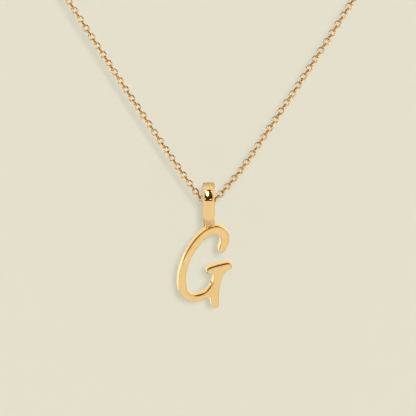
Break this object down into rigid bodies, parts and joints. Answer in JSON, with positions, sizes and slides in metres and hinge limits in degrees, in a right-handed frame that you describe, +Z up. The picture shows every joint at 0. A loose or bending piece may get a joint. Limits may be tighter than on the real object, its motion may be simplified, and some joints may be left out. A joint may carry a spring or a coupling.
{
  "type": "initial pendant necklace",
  "caption": "Gold-coloured script capital letter pendant with a tall slotted bail, hanging on a fine cable chain necklace closed by a plain ring clasp.",
  "frame": {"origin": "middle of the clasp at the crest of the loop, where the necklace lies on the nape of the neck", "axes": "+Z up, -Y towards the viewer and along the way the letter faces, +X to the viewer's right; the loop lies in the XZ plane"},
  "size_m": [0.1201, 0.0034, 0.1964],
  "materials": {
    "satin_gold": "gold plate, satin on the flat faces and polished on the cut edges",
    "polished_gold": "gold plate, polished round wire"
  },
  "bodies": {
    "necklace": {"chain": "polished_gold", "clasp": "polished_gold"},
    "bail": {"bail": "satin_gold"},
    "letter": {"letter": "satin_gold"}
  },
  "joints": [
    {"name": "bail_swing", "type": "hinge", "parent": "necklace", "child": "bail", "pos_m": [0, 0, -0.17486], "axis": [1, 0, 0], "range_deg": [-60, 60]},
    {"name": "letter_swing", "type": "hinge", "parent": "bail", "child": "letter", "pos_m": [0, 0, -0.17842], "axis": [0.989, 0.1478, 0], "range_deg": [-25, 25]}
  ]
}
